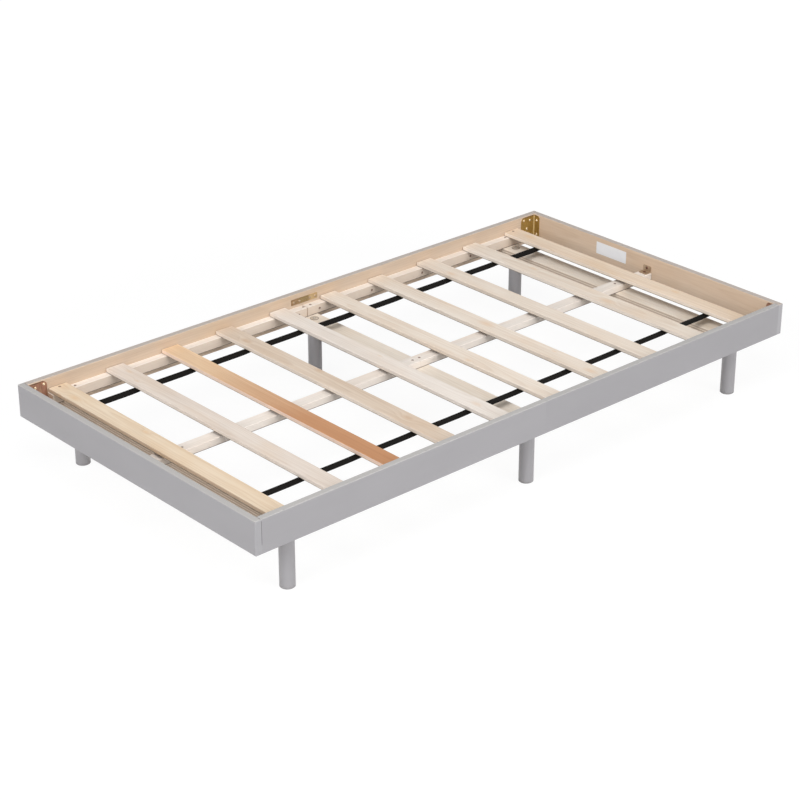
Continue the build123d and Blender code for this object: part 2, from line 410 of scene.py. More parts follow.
def pine_board(
    node, timber, along, across, seed, pith, spots=(), contrast=1.0, side=SAWN_SIDE_AND_SHADE, side_share=0.5,
):
    """A finish of bare pine for one board: planed on top, sawn at the sides and the ends, with painted
    shade on the sides and along the lower edge.
    """
    finish = Finish(node + "_pine")
    place = board_place(finish, node, along, across)
    colour, rough, relief = pine(finish, place, timber, seed, pith, spots, contrast)
    low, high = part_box(node)
    sides = below_top(finish, high.z)
    # The sides take the sawn tone, which also holds painted shade.
    colour = finish.mix(sides * side_share, colour, side)
    half_length = (high - low)[AXES[along]] / 2
    sawn = abs(place[0]).above(half_length - 0.2 * MM, SOFT_LINE) * 0.5
    colour = finish.mix(sawn, colour, SAWN)
    # Painted shade along the lower edge.
    colour = finish.mix(painted_lower_shade(finish, low.z), colour, LOWER_EDGE_SHADE)
    return finish.dress(colour, rough + sides * 0.08 + sawn * 0.3, relief, PORE_DEPTH)


def wear_finish(node, material):
    """Puts a material on a piece of the solid model."""
    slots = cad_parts[node].data.materials
    slots.clear()
    slots.append(material)


print("pine ready")

# %% [markdown]
# The ten slats come from different trees, and one of them is a resinous, orange piece that goes back
# to ordinary yellow pine towards its left end. Each slat gets its own timber, seed, place in the
# trunk and spots, so no two repeat. A spot is a place along the slat and across it, and a radius. The
# slat at the foot has its sides in a brown painted shadow, the shade of the foot rail beside it, and
# four have sides in a greyer painted shade.

# %% Slats
SLAT_WOOD = (
    ("honey", (0.010, -0.040), ((0.10, 0.012, 0.005), (0.40, -0.010, 0.009), (0.447, -0.030, 0.003))),
    ("chalk", (-0.030, -0.050), ((0.44, 0.008, 0.006), (0.375, -0.012, 0.005))),
    ("amber", (0.040, -0.030), ()),
    ("biscuit", (-0.008, -0.060), ((0.385, -0.006, 0.007), (0.09, 0.020, 0.006), (-0.30, 0.004, 0.009))),
    ("ivory", (0.022, -0.050), ((0.05, 0.012, 0.004), (-0.36, 0.0, 0.007))),
    ("cream", (-0.015, 0.050), ((-0.14, -0.018, 0.005),)),
    ("cream", (0.035, -0.045), ((0.01, 0.006, 0.010), (-0.26, 0.014, 0.003), (-0.42, -0.004, 0.008))),
    ("cream", (-0.028, 0.040), ((0.36, -0.012, 0.008),)),
    ("cream", (0.006, -0.055), ((-0.11, -0.006, 0.010), (0.22, 0.010, 0.006))),
    ("straw", (-0.034, -0.040), ((0.417, 0.006, 0.009), (-0.20, 0.012, 0.006))),
)
SIDE_TONES = (RAIL_SHADOW_SIDE, *[SAWN_SIDE_AND_SHADE] * 3, *[SHADED_SIDE] * 4, *[SAWN_SIDE_AND_SHADE] * 2)
AMBER_END = 0.12
AMBER_BLEND = 0.50
AMBER_RAGGED = 0.22
RESIN_GLOSS = 0.08
SAPWOOD = shade(232, 208, 192)


def amber_board(node, seed, pith):
    """Resinous orange pine that turns to yellow pine towards the left side, with pale sapwood sides."""
    finish = Finish(node + "_pine")
    place = board_place(finish, node, "Y", "X")
    orange, rough, relief = pine(finish, place, "amber", seed, pith, contrast=0.8)
    plain = pine(finish, place, "tan", seed, pith)[0]
    ragged = finish.noise(place[0] * 4, place[1] * 60, place[2] * 60, detail=3.0) - 0.5
    share = (place[0] + ragged * AMBER_RAGGED).above(AMBER_END, AMBER_BLEND)
    colour = finish.mix(share, orange, plain)
    colour = finish.mix(below_top(finish, slat_top) * 0.85, colour, SAPWOOD)
    # Painted shade along the lower edge.
    colour = finish.mix(painted_lower_shade(finish, slat_bottom), colour, LOWER_EDGE_SHADE)
    return finish.dress(colour, rough - RESIN_GLOSS, relief, PORE_DEPTH)


for seed, (node, (timber, pith, spots)) in enumerate(zip(SLATS, SLAT_WOOD), start=1):
    if timber == "amber":
        wear_finish(node, amber_board(node, seed, pith))
    else:
        side = SIDE_TONES[seed - 1]
        wear_finish(node, pine_board(node, timber, "Y", "X", seed, pith, spots, side=side))
print("slats:", ", ".join(wood[0] for wood in SLAT_WOOD))

# %% [markdown]
# The cleats and the centre rail are plainer timber. They use the same pine, with the grain turned to
# run along each of them. Every group of boards starts its own run of seeds, clear of the others.

# %% Cleats and centre rail
CLEAT_SEED = 20

seed = CLEAT_SEED
for end_name in ENDS:
    rail = f"centre_rail_{end_name}"
    wear_finish(rail, pine_board(rail, "ivory", "X", "Y", seed, (0.02, -0.04), contrast=0.6))
    seed += 1
    for side_name in SIDES:
        cleat = f"cleat_{side_name}_{end_name}"
        wear_finish(cleat, pine_board(
            cleat, "ivory", "X", "Z", seed, (0.03, 0.02), contrast=0.8, side=CLEAT_SIDE_AND_SHADE, side_share=0.7,
        ))
        seed += 1
print("seeds used up to", seed - 1)

# %% [markdown]
# The crossbeams are laminated: thin layers glued with their grain crossed, which keeps a flat board
# from cupping. Only the sawn edges show it, as pale and brown stripes with dark glue lines between.

# %% Crossbeams
LAYERS = 5
GLUE_LINE = 0.10
LAYER_BROWN = shade(210, 189, 170)
LAYER_PALE = shade(242, 228, 211)
GLUE_BROWN = shade(142, 116, 96)


def laminated_beam(node, seed):
    """Pine faces, and edges that show the crossed layers and the glue between them."""
    finish = Finish(node + "_layers")
    place = board_place(finish, node, "Y", "X")
    colour, rough, relief = pine(finish, place, "birch", seed, (-0.02, -0.04))
    low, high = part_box(node)
    half = (high - low) / 2
    at_edge = abs(place[1]).above(half.x - SOFT_LINE, 0.2 * MM)
    at_edge = at_edge.or_if(abs(place[0]).above(half.y - SOFT_LINE, 0.2 * MM))
    wander = finish.noise(place[0] * 20 + seed, place[1] * 20, 0.0) - 0.5
    height = (place[2] + half.z + wander * (0.5 * MM)) / (2 * half.z / LAYERS)
    glue = abs(height.fraction() - 0.5).above(0.5 - GLUE_LINE, GLUE_LINE)
    crossed = abs((height / 2).fraction() - 0.75).above(0.25, 0.06)
    stripes = finish.mix(crossed, LAYER_BROWN, LAYER_PALE)
    stripes = finish.mix(glue * 0.6, stripes, GLUE_BROWN)
    colour = finish.mix(at_edge, colour, stripes)
    relief = relief - at_edge * glue * 0.5
    return finish.dress(colour, rough + at_edge * 0.12, relief, PORE_DEPTH)


for beam_name in BEAMS:
    node = f"crossbeam_{beam_name}"
    wear_finish(node, laminated_beam(node, seed))
    seed += 1
print(LAYERS, "layers in each crossbeam")

# %% [markdown]
# The rim boards are painted before the frame is screwed together, and only where they will show. The
# satin grey covers the outside, the ends and the top edge, and laps about a millimetre over the inner
# edge, while the inner face stays bare. One finish does both: a ragged line at the inner edge says
# which of the two shows. The long fibres show through the paint as a faint relief, and the roller
# leaves a fine stipple. The top edge is painted paler, as a painted highlight where the light from
# above falls on it, and on the left side and the head this painted highlight is warmer.

# %% Satin paint
PAINT = shade(164, 162, 165)
PAINT_SHADE = shade(159, 157, 160)
PAINT_END = shade(175, 174, 177)
# Painted highlight on the top edge: paler paint, and warmer on the left and the head.
PAINT_TOP_HIGHLIGHT = shade(183, 182, 181)
PAINT_TOP_WARM_HIGHLIGHT = shade(192, 174, 160)
SEAM = shade(84, 82, 82)
PAINT_LAP = 0.9 * MM
PAINT_RELIEF = 0.12 * MM


def satin_paint(finish, place, seed):
    """The colour, roughness and relief of satin paint rolled on a board."""
    along, across, through = place
    shift = seed * 5.1
    cloud = finish.noise(along * 4 + shift, across * 12, through * 12, detail=3.0) - 0.5
    fibre = finish.noise(along * 10 + shift, across * 320, through * 320)
    stipple = finish.noise(along * 900, across * 900, through * 900, detail=1.0)
    colour = finish.mix((cloud * 1.6 + 0.5).clamped(), PAINT, PAINT_SHADE)
    rough = 0.46 + cloud * 0.12 + (stipple - 0.5) * 0.06
    relief = fibre * 0.7 + stipple * 0.3
    return colour, rough, relief


print("paint laps", PAINT_LAP / MM, "mm over the inner edge")

# %% [markdown]
# Where the foot rail meets a side rail the two painted boards leave a hairline gap. It is too fine to
# model, so both finishes darken along it. It closes near the top and the bottom, and the head end is
# tight. An end rail's own ends are painted too, and their open grain takes a second coat, so they are
# a little paler. Some boards are a few parts in a hundred lighter or darker than the rest.

# %% Painted rim
RIM_SEED = 40
SEAM_BOTTOM = rail_low.z + 26 * MM
SEAM_TOP = rail_top - 5 * MM
# How warm the painted highlight on each top edge is.
TOP_WARMTH = {"foot": 0.1, "head": 0.6, "right": 0.1, "left": 0.6}
# Each listed board is made this much lighter or darker than the rest.
BOARD_BRIGHTNESS = {"foot_rail": 0.97, "head_rail": 1.03, "side_rail_right_head": 0.97, "side_rail_left_head": 1.05}


def rim_board(node, along, seed, pith, warmth):
    """A rim board: satin paint outside and on its edges, bare pine inside, and a painted highlight on
    top.
    """
    finish = Finish(node + "_rim")
    place = board_place(finish, node, along, "Z")
    timber = "board" if along == "Y" else "plank"
    bare_colour, bare_rough, bare_relief = pine(finish, place, timber, seed, pith, contrast=0.8)
    colour, rough, relief = satin_paint(finish, place, seed)
    x, y, z = finish.place()
    ragged = (finish.noise(x * 70, y * 70, z * 70, detail=3.0) - 0.5) * (0.8 * MM)
    joint = abs(x) - inner_x
    if along == "X":
        painted = (abs(y) + ragged).above(inner_y + PAINT_LAP, SOFT_LINE)
        in_seam = joint.above(-0.9 * MM, SOFT_LINE)
    else:
        past_sides = abs(y).above(inner_y + 0.2 * MM, SOFT_LINE)
        painted = (joint + ragged).above(PAINT_LAP, SOFT_LINE).or_if(past_sides)
        in_seam = (1 - joint.above(0.7 * MM, SOFT_LINE)) * past_sides
        on_end = abs(y).above(rail_high.y - 0.5 * MM, 0.4 * MM)
        colour = finish.mix(on_end * 0.5, colour, PAINT_END)
    open_height = z.above(SEAM_BOTTOM, 6 * MM) * (1 - z.above(SEAM_TOP, 2 * MM))
    in_seam = in_seam * open_height * (0.85 if "foot" in node else 0.1)
    # Painted highlight: the top edge is made paler, with a ragged lower line.
    top_highlight = (z + (relief - 0.5) * (1.5 * MM)).above(rail_top - 1.4 * MM, 2.0 * MM)
    colour = finish.mix(top_highlight, colour, finish.mix(warmth, PAINT_TOP_HIGHLIGHT, PAINT_TOP_WARM_HIGHLIGHT))
    colour = finish.mix(in_seam, colour, SEAM)
    colour = finish.mix(1.0, colour, [BOARD_BRIGHTNESS.get(node, 1.0)] * 3, "MULTIPLY")
    colour = finish.mix(painted, bare_colour, colour)
    rough = bare_rough + (rough - bare_rough) * painted
    return finish.dress(colour, rough, bare_relief + (relief - bare_relief) * painted, PAINT_RELIEF)


seed = RIM_SEED
for end_name in ENDS:
    node = f"{end_name}_rail"
    wear_finish(node, rim_board(node, "Y", seed, (0.03, 0.05), TOP_WARMTH[end_name]))
    seed += 1
    for side_name in SIDES:
        node = f"side_rail_{side_name}_{end_name}"
        wear_finish(node, rim_board(node, "X", seed, (-0.02, 0.06), TOP_WARMTH[side_name]))
        seed += 1
print("rim painted on", seed - RIM_SEED, "boards")

# %% [markdown]
# The legs are turned from solid wood and dipped in the same grey. Their paint is a little smoother
# than on the boards, with faint rings left by the turning, and it is darker towards the floor.

# %% Legs
LEG_SEED = 60
LEG_FOOT_TONE = shade(128, 124, 120)
FOOT_TONE_HEIGHT = 6 * MM


def turned_leg(node, seed):
    """Satin paint on a turned leg, with faint rings round it."""
    finish = Finish(node + "_paint")
    across, over, along = finish.place()
    colour, rough, relief = satin_paint(finish, (along, across, over), seed)
    turning = finish.noise(along * 700 + seed, 0.0, 0.0, detail=1.0)
    # Darker towards the floor, below a ragged line.
    near_floor = 1 - (along + (relief - 0.5) * FOOT_TONE_HEIGHT).above(FOOT_TONE_HEIGHT, FOOT_TONE_HEIGHT)
    colour = finish.mix(near_floor * 0.35, colour, LEG_FOOT_TONE)
    return finish.dress(colour, rough - 0.04, relief * 0.6 + turning * 0.4, 0.08 * MM)


legs = [f"leg_{beam_name}_{side_name}" for beam_name in BEAMS for side_name in SIDES]
for seed, node in enumerate(legs, start=LEG_SEED):
    wear_finish(node, turned_leg(node, seed))
print(len(legs), "legs painted")

# %% [markdown]
# The fittings are stamped steel with a thin, uneven coat, so each kind drifts between three colours.
# A coat this dull is partly paint-like, so most are only about two thirds metal. The clips are
# bronze, and the bolts are plain bright zinc.

# %% Steel
STEEL_RELIEF = 0.05 * MM
FINE_MARKS = (1600.0, 60.0)


def steel_coat(finish, colours, patch_size, brushed):
    """The drifting colour of a plated coat, its patches and its brush marks."""
    def stretched(across, along, **kind):
        scale = [along if axis == brushed else across for axis in "XYZ"]
        return finish.noise(*(wire * size for wire, size in zip(wires, scale)), **kind)

    wires = finish.place()
    patches = stretched(1 / patch_size, 0.25 / patch_size, detail=3.0)
    brush = stretched(*FINE_MARKS)
    colour = finish.mix(((patches - 0.5) * 2.8 + 0.5).clamped(), colours[0], colours[1])
    colour = finish.mix(patches.above(0.62, 0.10) * 0.6, colour, colours[2])
    return colour, patches, brush


def steel_surface(finish, colour, metal, rough, patches, brush):
    """The surface of brushed steel, as a material."""
    rough = rough + (brush - 0.5) * 0.18 + (patches - 0.5) * 0.15
    return finish.dress(colour, rough, brush, STEEL_RELIEF, Metallic=metal)


def coated_steel(name, colours, rough, patch_size, brushed="Z", metal=0.65):
    """Plated steel whose coat drifts between three colours."""
    finish = Finish(name)
    colour, patches, brush = steel_coat(finish, colours, patch_size, brushed)
    return steel_surface(finish, colour, metal, rough, patches, brush)


OLIVE_BRASS = shades((186, 154, 86), (150, 118, 58), (206, 176, 110))
RED_COPPER = shades((176, 132, 112), (140, 102, 80), (196, 156, 130))
DULL_OLIVE = shades((163, 140, 98), (132, 109, 72), (183, 160, 118))
DARK_BRONZE = shades((198, 174, 148), (154, 132, 108), (220, 198, 174))
REDDISH_SCREW = shades((122, 88, 72), (90, 62, 50), (150, 116, 96))
WARM_ZINC = shades((246, 230, 200), (226, 206, 174), (250, 242, 224))
BRIGHT_ZINC = shades((222, 220, 214), (196, 194, 190), (236, 235, 232))

bronze = coated_steel("dark_bronze", DARK_BRONZE, 0.40, patch_size=7 * MM)
screw_steel = coated_steel("reddish_screw", REDDISH_SCREW, 0.45, patch_size=6 * MM)
warm_zinc = coated_steel("warm_zinc", WARM_ZINC, 0.30, patch_size=10 * MM, brushed="X", metal=0.8)
zinc = coated_steel("bright_zinc", BRIGHT_ZINC, 0.28, patch_size=10 * MM, brushed="X", metal=0.9)
for end_name in ENDS:
    wear_finish(f"centre_rail_clip_{end_name}", bronze)
wear_finish("hanger_bolts", zinc)
print("steel on the clips, the bolts and the screws")

# %% [markdown]
# A corner bracket is cut from strip and then bent. A bright line is painted down the corner as a
# painted highlight, where the bend catches the light. The cut top edges are left brown.

# %% Corner brackets
bracket_low, bracket_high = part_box("corner_bracket_head_left")
CUT_BROWN = shade(104, 78, 54)


def bent_bracket(name, colours, bend_highlight_colour):
    """A plated bracket with a painted highlight down the bend and brown cut edges."""
    finish = Finish(name)
    x, y, z = finish.place()
    colour, patches, brush = steel_coat(finish, colours, 7 * MM, "Z")
    from_bend = (inner_x - abs(x)) + (inner_y - abs(y))
    bend_highlight = 1 - from_bend.above(7.5 * MM, 4 * MM)
    cut_edge = (z + (patches - 0.5) * (6 * MM)).above(bracket_high.z - 1.5 * MM, 2 * MM)
    cut_edge = cut_edge.or_if(1 - from_bend.above(2.6 * MM, 0.8 * MM))
    # Painted highlight: a bright line down the bend.
    colour = finish.mix(bend_highlight * 0.7, colour, bend_highlight_colour)
    colour = finish.mix(cut_edge * 0.75, colour, CUT_BROWN)
    return steel_surface(finish, colour, 0.6, 0.42, patches, brush)


brass = bent_bracket("olive_brass", OLIVE_BRASS, shade(230, 204, 150))
copper = bent_bracket("red_copper", RED_COPPER, shade(206, 176, 150))
wear_finish("corner_bracket_head_left", brass)
for corner in ("head_right", "foot_left", "foot_right"):
    wear_finish(f"corner_bracket_{corner}", copper)
print("four brackets, with their tops at", round(bracket_high.z, 4))

# %% [markdown]
# The tee nuts are pale grey with a dark line of shadow and oil round the flange and round the bolt.
# All six share one finish, so the place is folded: six places in a grid become one place, measured
# from the nearest bolt's middle.

# %% Tee nuts
leg_low, leg_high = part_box("leg_head_left")
NUT_PITCH = (leg_low.x + leg_high.x) / 2
NUT_SIDE = (leg_low.y + leg_high.y) / 2
FLANGE_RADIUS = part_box("tee_nuts")[1].x - NUT_PITCH
BOLT_LINE_RADIUS = 5.2 * MM
NUT_GREY = shade(224, 213, 199)
NUT_DULL = shade(192, 178, 164)
NUT_LINE = shade(112, 92, 76)


def tee_nut_finish():
    """Dull grey steel, darker at the flange's rim and round the bolt."""
    finish = Finish("grey_nut")
    x, y, z = finish.place()
    along = ((x / NUT_PITCH + 0.5).fraction() - 0.5) * NUT_PITCH
    across = abs(y) - NUT_SIDE
    reach = (along ** 2 + across ** 2) ** 0.5
    patches = finish.noise(x * 90, y * 90, z * 90, detail=3.0)
    rim_line = reach.above(FLANGE_RADIUS - 1.2 * MM, 1.0 * MM)
    bolt_line = 1 - reach.above(BOLT_LINE_RADIUS, 1.0 * MM)
    colour = finish.mix(patches.above(0.5, 0.5), NUT_GREY, NUT_DULL)
    colour = finish.mix(rim_line.or_if(bolt_line) * 0.7, colour, NUT_LINE)
    rough = 0.46 + (patches - 0.5) * 0.2
    return finish.dress(colour, rough, patches, STEEL_RELIEF, Metallic=0.4)


wear_finish("tee_nuts", tee_nut_finish())
print("tee nuts", NUT_PITCH, "m apart")

# %% [markdown]
# The plating bath left a joining plate dull olive, a little red towards the foot and paler at the
# other end, where it hung from the rack.

# %% Joining plates
PALE_BRASS = shade(205, 177, 133)
RED_UP_TO = 0.28
PALE_FROM = 0.68


def two_tone_plate(name, node):
    """A joining plate whose coat is olive, a little red at one end and paler at the other."""
    finish = Finish(name)
    x = finish.place()[0]
    low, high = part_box(node)
    olive, patches, brush = steel_coat(finish, DULL_OLIVE, 6 * MM, "X")
    ragged = x + (patches - 0.5) * 0.02
    red_end = 1 - ragged.above(low.x + RED_UP_TO * (high.x - low.x), 12 * MM)
    pale_end = ragged.above(low.x + PALE_FROM * (high.x - low.x), 12 * MM)
    colour = finish.mix(red_end * 0.25, olive, RED_COPPER[0])
    colour = finish.mix(pale_end * 0.8, colour, PALE_BRASS)
    rough = 0.44 + (patches - 0.5) * 0.2
    return finish.dress(colour, rough, brush, STEEL_RELIEF, Metallic=0.55)


for side_name in SIDES:
    node = f"joining_plate_{side_name}"
    wear_finish(node, two_tone_plate(f"plate_{side_name}", node))
print("two joining plates")

# %% [markdown]
# New pieces are made as plain lists of corners and faces. One helper turns such lists into an object,
# smooths what should look round, and ties it to the bed. Others join rings of corners into a tube
# and many small parts into one piece.

# %% Helpers for new pieces
SMOOTH_BELOW = math.radians(35.0)


def new_piece(name, corners, faces, material, slot):
    """A new object that belongs to the bed, smooth except at its sharp edges."""
    mesh = bpy.data.meshes.new(name)
    mesh.from_pydata(corners, [], faces)
    mesh.materials.append(material)
    shape = bmesh.new()
    shape.from_mesh(mesh)
    bmesh.ops.recalc_face_normals(shape, faces=shape.faces)
    for face in shape.faces:
        face.smooth = True
    for edge in shape.edges:
        edge.smooth = edge.calc_face_angle(0.0) < SMOOTH_BELOW
    shape.to_mesh(mesh)
    shape.free()
    piece = put_in_scene(name, mesh)
    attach(piece, "root")
    return piece


def walls(rings, size, first=0):
    """The faces between rings of corners, where each ring has this size."""
    faces = []
    for base in range(first, first + (rings - 1) * size, size):
        for point in range(size):
            after = (point + 1) % size
            faces.append((base + point, base + after, base + size + after, base + size + point))
    return faces


def tube(rings, size):
    """The faces of a closed tube: its two ends and its walls."""
    return [tuple(range(size)), tuple(range((rings - 1) * size, rings * size)), *walls(rings, size)]


def joined(parts):
    """Several (corners, faces) lists as one."""
    corners, faces = [], []
    for part_corners, part_faces in parts:
        base = len(corners)
        corners.extend(part_corners)
        faces.extend([tuple(base + index for index in face) for face in part_faces])
    return corners, faces


print("ready to make pieces")

# %% [markdown]
# A cross-recess screw is a turned profile with a cross pressed into its head. The cross is cut by
# hand instead of with a boolean: twelve corners make its outline, and the top of the head is four
# faces at the arms' ends and four between the arms. Below the outline the walls slope in to a blunt
# bottom. Every screw is turned by its own amount, because nobody lines them up.

# %% The shape of a screw
ARMS = 4
ARM_CORNERS = 3
CROSS_CORNERS = ARMS * ARM_CORNERS
RIM_POINTS = 24
POINTS_AN_ARM = RIM_POINTS // ARMS
CROSS_ARM = 2.1 * MM
CROSS_HALF_WIDTH = 0.42 * MM
CROSS_DEPTH = 1.3 * MM
POINT_LENGTH = 2.0 * MM


def cross_outline(arm, half_width, height):
    """The twelve corners of a cross, starting at the right-hand corner of the first arm."""
    outline = []
    for quarter in range(ARMS):
        turn = Matrix.Rotation(quarter * math.pi / 2, 3, "Z")
        for corner in ((arm, -half_width), (arm, half_width), (half_width, half_width)):
            outline.append(tuple(turn @ Vector((*corner, height))))
    return outline


def screw_shape(profile):
    """A screw as (corners, faces). The profile runs from the top's rim down to the point."""
    top = profile[0][1]
    corners = cross_outline(CROSS_ARM, CROSS_HALF_WIDTH, top)
    corners += cross_outline(CROSS_ARM * 0.5, CROSS_HALF_WIDTH * 0.6, top - CROSS_DEPTH)
    faces = walls(2, CROSS_CORNERS)
    arms = range(CROSS_CORNERS, 2 * CROSS_CORNERS, ARM_CORNERS)
    faces += [(arm, arm + 1, arm + 2) for arm in arms]
    faces += [(arm, arm + 2, CROSS_CORNERS + (arm - 1) % CROSS_CORNERS) for arm in arms]
    faces.append(tuple(arm + 2 for arm in arms))
    first_ring = len(corners)
    for radius, height in profile:
        for point in range(RIM_POINTS):
            angle = 2 * math.pi * point / RIM_POINTS
            corners.append((radius * math.cos(angle), radius * math.sin(angle), height))
    for quarter in range(ARMS):
        start, right = quarter * POINTS_AN_ARM, quarter * ARM_CORNERS
        rim = [first_ring + (start + step) % RIM_POINTS for step in range(-1, POINTS_AN_ARM)]
        faces.append((right, *rim[:3], right + 1))
        faces.append((right + 1, *rim[2:], (right + ARM_CORNERS) % CROSS_CORNERS, right + 2))
    faces += walls(len(profile), RIM_POINTS, first_ring)
    tip = len(corners)
    corners.append((0.0, 0.0, profile[-1][1] - POINT_LENGTH))
    last = first_ring + (len(profile) - 1) * RIM_POINTS
    faces += [(last + point, last + (point + 1) % RIM_POINTS, tip) for point in range(RIM_POINTS)]
    return corners, faces


print("a screw's head is round to", RIM_POINTS, "points")

# %% [markdown]
# Two heads are used. The fittings have rounded heads that stand on the steel, and the boards have
# countersunk ones that finish just proud of the wood. Each is a list of radii and heights above the
# seat, in millimetres, and the shank goes on from there.

# %% Screw heads
PAN_HEAD = ((2.7, 2.45), (3.3, 2.2), (3.75, 1.6), (4.0, 0.8), (4.0, 0.0), (1.9, -0.4))
FLAT_HEAD = ((3.4, 0.12), (3.8, 0.06), (3.9, -0.2), (1.9, -2.4))
SHANK = 1.9


def screw_group(name, head, length, seats, material, slot):
    """One object that holds every screw of a kind, each on its own seat: a place and a way out."""
    turns = random.Random(name)
    profile = [(radius * MM, height * MM) for radius, height in (*head, (SHANK, -length))]
    corners, faces = screw_shape(profile)
    parts = []
    for place, outward in seats:
        stand = Vector(outward).to_track_quat("Z", "Y").to_matrix().to_4x4()
        turn = Matrix.Rotation(turns.uniform(0.0, math.pi / 2), 4, "Z")
        matrix = Matrix.Translation(Vector(place)) @ stand @ turn
        parts.append(([matrix @ Vector(corner) for corner in corners], faces))
    new_piece(name, *joined(parts), material, slot)
    print(name, len(seats), "screws")


print("shanks", 2 * SHANK, "mm across")

# %% [markdown]
# The screws go where a joiner would put them, and their places come from the pieces that they hold.
# The fittings come first: one screw through every hole.

# %% Screws of the fittings
FITTING_THICK = 2.0 * MM
FITTING_SCREW = 15
CLIP_SCREW = 13
SIDE_LEAF = ((50, 31), (22, 27), (35, 0))
END_LEAF = ((14, 24), (14, -24))
PLATE_HOLES = (20, 42)
CLIP_HOLE = 13.0 * MM
corner_pairs = [(end, side) for end in ENDS.values() for side in SIDES.values()]
UP, DOWN = (0, 0, 1), (0, 0, -1)
leaf_x, leaf_y = inner_x - FITTING_THICK, inner_y - FITTING_THICK
bracket_middle = (bracket_low.z + bracket_high.z) / 2
plate_low, plate_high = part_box("joining_plate_left")
plate_middle = (plate_low.z + plate_high.z) / 2
rail_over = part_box("centre_rail_head")[1].z

bracket_seats, plate_seats, clip_seats = [], [], []
for end, side in corner_pairs:
    for along, up in SIDE_LEAF:
        place = (end * (inner_x - along * MM), side * leaf_y, bracket_middle + up * MM)
        bracket_seats.append((place, (0, -side, 0)))
    for along, up in END_LEAF:
        place = (end * leaf_x, side * (inner_y - along * MM), bracket_middle + up * MM)
        bracket_seats.append((place, (-end, 0, 0)))
    for along in PLATE_HOLES:
        plate_seats.append(((end * along * MM, side * plate_low.y, plate_middle), (0, -side, 0)))
for end in ENDS.values():
    clip_seats.append(((end * leaf_x, 0, rail_over + CLIP_HOLE), (-end, 0, 0)))
    clip_seats.append(((end * (inner_x - CLIP_HOLE), 0, rail_over + FITTING_THICK), UP))

screw_group("corner_bracket_screws", PAN_HEAD, FITTING_SCREW, bracket_seats, warm_zinc, "zinc_steel")
screw_group("joining_plate_screws", PAN_HEAD, FITTING_SCREW, plate_seats, bronze, "bronzed_steel")
screw_group("centre_rail_clip_screws", PAN_HEAD, CLIP_SCREW, clip_seats, screw_steel, "bronzed_steel")

# %% [markdown]
# Then the boards. Screws go sideways through the cleats into the rim, down through the end slats
# and the cleats, up through the crossbeams, and down through the centre rail.

# %% Screws of the boards
CLEAT_SCREWS = 5
CLEAT_SCREW_INSET = 40.0 * MM
CLEAT_DOWN_OFFSET = 14.0 * MM
BEAM_SCREW_OFFSET = 18.0 * MM
CENTRE_JOINT_INSET = 13.0 * MM
cleat_low, cleat_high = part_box("cleat_left_head")
cleat_middle_y = (cleat_low.y + cleat_high.y) / 2
cleat_screw_pitch = (cleat_high.x - 2 * CLEAT_SCREW_INSET) / (CLEAT_SCREWS - 1)


def middle_x(node):
    """The middle of a piece along the bed."""
    return (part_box(node)[0].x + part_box(node)[1].x) / 2


cleat_seats, down_seats, beam_seats = [], [], []
for end, side in corner_pairs:
    for step in range(CLEAT_SCREWS):
        along = CLEAT_SCREW_INSET + cleat_screw_pitch * step
        place = (end * along, side * cleat_low.y, (cleat_low.z + cleat_high.z) / 2)
        cleat_seats.append((place, (0, -side, 0)))
for side in SIDES.values():
    for node in (SLATS[0], SLATS[-1]):
        down_seats.append(((middle_x(node), side * cleat_middle_y, slat_top), UP))
    for beam_name in BEAMS:
        beam_x = middle_x(f"crossbeam_{beam_name}")
        for way in (-1, 1):
            beam_place = (beam_x + way * BEAM_SCREW_OFFSET, side * cleat_middle_y, beam_bottom)
            beam_seats.append((beam_place, DOWN))
            cleat_place = (beam_x + way * CLEAT_DOWN_OFFSET, side * cleat_middle_y, cleat_high.z)
            down_seats.append((cleat_place, UP))
centre_seats = [
    ((end * along, 0, rail_over), UP)
    for end in ENDS.values()
    for along in (middle_x("crossbeam_head") - BEAM_SCREW_OFFSET, CENTRE_JOINT_INSET)
]

for name, length, seats in (
    ("cleat_screws", 38, cleat_seats), ("slat_screws", 25, down_seats),
    ("crossbeam_screws", 30, beam_seats), ("centre_rail_screws", 34, centre_seats),
):
    screw_group(name, FLAT_HEAD, length, seats, screw_steel, "bronzed_steel")

# %% [markdown]
# The webbing that keeps the slats apart is a flat woven tape. The solid model has it as a straight
# ribbon. The real tape is stapled to the middle of every slat's underside. It is stiff, so it drops
# away beside each staple and then runs nearly straight to the next slat, a few millimetres low. The
# left tape was pulled tighter along one edge, so its other edge hangs lower between the slats.

# %% Webbing: its line and its section
STRAP_SAG = 3.2 * MM
STRAP_THICK = 1.4 * MM
STRAP_CLEAR = 0.05 * MM
STAPLE_OFFSET = 4.0 * MM
STRAP_TILT = {"right": 0.3 * MM, "left": 2.0 * MM}
STEPS_A_GAP = 16
strap_level = slat_bottom - STRAP_CLEAR - STRAP_THICK / 2


def tape(points, middle_y, width, tilt):
    """A flat tape with rounded edges along a path, tilted where it sags, as (corners, faces)."""
    half, thick = width / 2, STRAP_THICK / 2
    section = (
        (-half, 0.0), (-half + thick, thick), (half - thick, thick), (half, 0.0),
        (half - thick, -thick), (-half + thick, -thick),
    )
    corners = []
    for x, z in points:
        lean = tilt * (strap_level - z) / STRAP_SAG / half
        corners += [(x, middle_y + side, z + up + lean * side) for side, up in section]
    return corners, tube(len(points), len(section))


